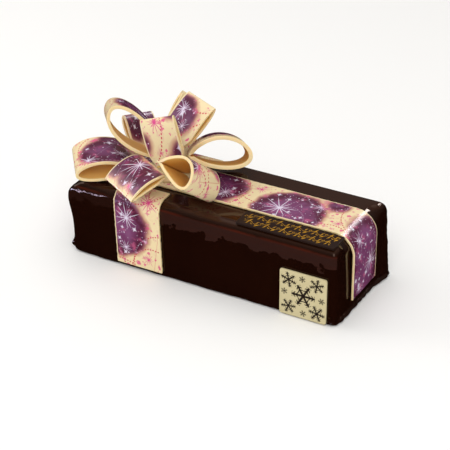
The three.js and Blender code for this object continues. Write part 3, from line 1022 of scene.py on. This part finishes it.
def plaque_material(colours):
    """Dark chocolate set on a smooth sheet: satin, with a faint bloom of cocoa butter."""
    material, add = new_material("Dark chocolate")
    place = add("TexCoord").outputs["Object"]
    tone = add("Mix", "RGBA", add("TexNoise", place, 1 / (14 * MM), 4), colours.dark, "#2e1d16")
    bump = relief(add, place, 3 * MM, 2, 0.05 * MM)
    add("OutputMaterial", add(
        "BsdfPrincipled", Base_Color=tone, Normal=bump, Roughness=0.4, IOR=1.46,
        Specular_IOR_Level=0.15))
    return material


def flake_mask(add, place, middle, reach, tilt):
    """A six-armed ornament: arms with short side branches, as a mask in the XZ plane."""
    x, _, z = add("SeparateXYZ", add("VectorMath", "SUBTRACT", place, middle)).outputs
    radius = add("VectorMath", "LENGTH", add("CombineXYZ", x, z))
    angle = add("Math", "ADD", add("Math", "ARCTAN2", z, x), radians(tilt) + 2 * pi)
    fold = add("Math", "PINGPONG", angle, pi / 6)
    along, across = (
        add("Math", "MULTIPLY", add("Math", way, fold), radius)
        for way in ("COSINE", "SINE"))
    arm = add("MapRange", across, 0.08 * reach, 0.1 * reach, 1, 0)
    slant = add("Math", "ADD", add("Math", "MULTIPLY_ADD", across, 0.8, along), -0.62 * reach)
    slant = add("Math", "PINGPONG", slant, 0.13 * reach)
    branch = add("MapRange", slant, 0.05 * reach, 0.07 * reach, 1, 0)
    short = add("Math", "LESS_THAN", across, 0.24 * reach)
    outer = add("Math", "GREATER_THAN", along, 0.3 * reach)
    for mask in (short, outer):
        branch = add("Math", "MULTIPLY", branch, mask)
    shape = add("Math", "MAXIMUM", arm, branch)
    return add("Math", "MULTIPLY", shape, add("Math", "LESS_THAN", radius, reach))


def badge_material(colours, low, high):
    """White chocolate plate with a dark print of six-armed ornaments under its gloss."""
    material, add = new_material("White chocolate with dark print")
    place = add("TexCoord").outputs["Object"]
    middle = (low + high) / 2
    shape = 0
    for x, z, reach, tilt in FLAKES:
        centre = Vector((middle.x + x, 0, middle.z + z)) * MM
        shape = add("Math", "MAXIMUM", shape, flake_mask(add, place, centre, reach * MM, tilt))
    ivory = add("Mix", "RGBA", add("TexNoise", place, 1 / (18 * MM), 3), "#cabc8f", "#d7cba1")
    tone = add("Mix", "RGBA", shape, ivory, colours.motif)
    bump = relief(add, place, 9 * MM, 2, 0.06 * MM)
    add("OutputMaterial", add(
        "BsdfPrincipled", Base_Color=tone, Normal=bump, Roughness=0.3, IOR=1.46))
    return material


class YULECAKE_OT_plaques(bpy.types.Operator):
    """Sets the dark plaque on the top and the square one on the front"""

    bl_idname = "yule_cake.plaques"
    bl_label = "Chocolate Plaques"

    def execute(self, context):
        colours = context.scene.yule_colours
        publish(
            plate("plaque_top", 2, PLAQUE_CORNER["top"]), "plaque_dark",
            [plaque_material(colours)], "plaque_top")
        maker = bmesh.new()
        ornament(maker, *frame_box("plaque_top"))
        publish(maker, "gold_flourishes", [gold_material(colours)])
        publish(
            plate("plaque_front", 1, PLAQUE_CORNER["front"]), "plaque_square",
            [badge_material(colours, *frame_box("plaque_front"))], "plaque_front")
        return {"FINISHED"}


# ---- the stage ----

CAMERA = {
    "place": (0.5764, -1.0327, 0.7276), "azimuth": 29.23, "elevation": 30.32, "roll": -0.41,
    "lens": 129.5, "sensor": 36, "sees": 20,
}

# Name, place, width and height in metres, power in watts, colour, and whether it lights the matt
# parts too or only shows as a gleam. All of them aim at LIT.
LIT = Vector((0, 0, 0.05))
LIGHTS = (
    ("overhead", (-0.1, 0.1, 1.5), (1.3, 1.3), 3.5, "#ffffff", True),
    ("left", (-1.3, -0.3, 0.8), (0.8, 0.8), 4.5, "#ffffff", True),
    ("front", (0.6, -1.2, 1.35), (1.0, 1.0), 10, "#ffffff", True),
    ("edge gleam", (-0.92, -0.6, 0.04), (1.0, 0.06), 5.5, "#c8d0ff", False),
    ("bend gleam", (0.3, 0.97, 0.82), (0.28, 0.14), 3, "#ffffff", False),
)

# What the glaze mirrors, from straight down to straight up: a dark studio under a pale ceiling.
# The matt parts stand in the even light of a white tent, which is also what shows behind the floor.
SKY = ((-1, "#0c0503"), (-0.05, "#150a06"), (0.05, "#4a4442"), (0.55, "#938e8b"), (1, "#b9b9ba"))
TENT = "#dad9d8"


class YULECAKE_OT_stage(bpy.types.Operator):
    """Sets a pale floor, soft studio lights and the camera"""

    bl_idname = "yule_cake.stage"
    bl_label = "Studio Stage"

    def execute(self, context):
        scene = context.scene
        maker = bmesh.new()
        bmesh.ops.create_grid(maker, x_segments=1, y_segments=1, size=12)
        material, add = new_material("Matt white paper")
        add("OutputMaterial", add("BsdfPrincipled", Base_Color="#fbfaf8", Roughness=0.9))
        floor = meshed(maker, "floor", material)
        floor.visible_glossy = False
        floor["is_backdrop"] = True

        world = bpy.data.worlds.new("studio")
        world.use_nodes = True
        world.node_tree.nodes.clear()
        add = partial(add_node, world.node_tree)
        up = add("SeparateXYZ", add("TexCoord").outputs["Generated"]).outputs["Z"]
        sky = add("ValToRGB", add("MapRange", up, -1, 1), stops=[
            ((level + 1) / 2, tone) for level, tone in SKY])
        mirrored = add("LightPath").outputs["Is Glossy Ray"]
        light = add("Mix", "RGBA", mirrored, TENT, sky)
        add("OutputWorld", add("Background", light, 1))
        scene.world = world
        scene.view_settings.view_transform = "Standard"
        for name, place, (width, height), power, tint, lights_matt in LIGHTS:
            lamp = bpy.data.lights.new(name, "AREA")
            lamp.shape = "RECTANGLE"
            lamp.size, lamp.size_y = width, height
            lamp.energy = power
            lamp.color = linear(tint)
            holder = new_object(name, lamp)
            turn = (LIT - Vector(place)).to_track_quat("-Z", "Y")
            holder.matrix_world = Matrix.Translation(place) @ turn.to_matrix().to_4x4()
            holder.visible_diffuse = lights_matt
            holder.visible_camera = False

        lens = bpy.data.cameras.new("camera")
        lens.lens = CAMERA["lens"]
        lens.sensor_width = CAMERA["sensor"]
        lens.clip_end = CAMERA["sees"]
        scene.camera = new_object("camera", lens)
        scene.camera.matrix_world = (
            Matrix.Translation(CAMERA["place"])
            @ Matrix.Rotation(radians(CAMERA["azimuth"]), 4, "Z")
            @ Matrix.Rotation(radians(90 - CAMERA["elevation"]), 4, "X")
            @ Matrix.Rotation(radians(CAMERA["roll"]), 4, "Z"))
        return {"FINISHED"}


# ---- the panel and registration ----

STEPS = ("glaze", "ribbons", "bow", "knot", "plaques", "stage")


class YULECAKE_PT_panel(bpy.types.Panel):
    """Lists the steps that dress the cake"""

    bl_idname = "YULECAKE_PT_panel"
    bl_label = "Yule Log Cake"
    bl_space_type = "VIEW_3D"
    bl_region_type = "UI"
    bl_category = "Yule Cake"

    def draw(self, context):
        layout = self.layout
        for group in (context.scene.yule_sizes, context.scene.yule_colours):
            for name in group.bl_rna.properties.keys():
                if name not in {"rna_type", "name"}:
                    layout.prop(group, name)
        for step in STEPS:
            layout.operator("yule_cake." + step)


CLASSES = (
    YuleCakeColours, YuleCakeSizes, YULECAKE_OT_glaze, YULECAKE_OT_ribbons, YULECAKE_OT_bow,
    YULECAKE_OT_knot, YULECAKE_OT_plaques, YULECAKE_OT_stage, YULECAKE_PT_panel,
)


def register():
    for cls in CLASSES:
        bpy.utils.register_class(cls)
    bpy.types.Scene.yule_colours = PointerProperty(type=YuleCakeColours)
    bpy.types.Scene.yule_sizes = PointerProperty(type=YuleCakeSizes)


def unregister():
    del bpy.types.Scene.yule_sizes
    del bpy.types.Scene.yule_colours
    for cls in reversed(CLASSES):
        bpy.utils.unregister_class(cls)


def main():
    register()
    for step in STEPS:
        getattr(bpy.ops.yule_cake, step)()
    boxes = {"cad": CAD_BOX, "visual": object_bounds()}
    {k: [list(corner) for corner in box] for k, box in boxes.items()}


if __name__ == "__main__":
    main()
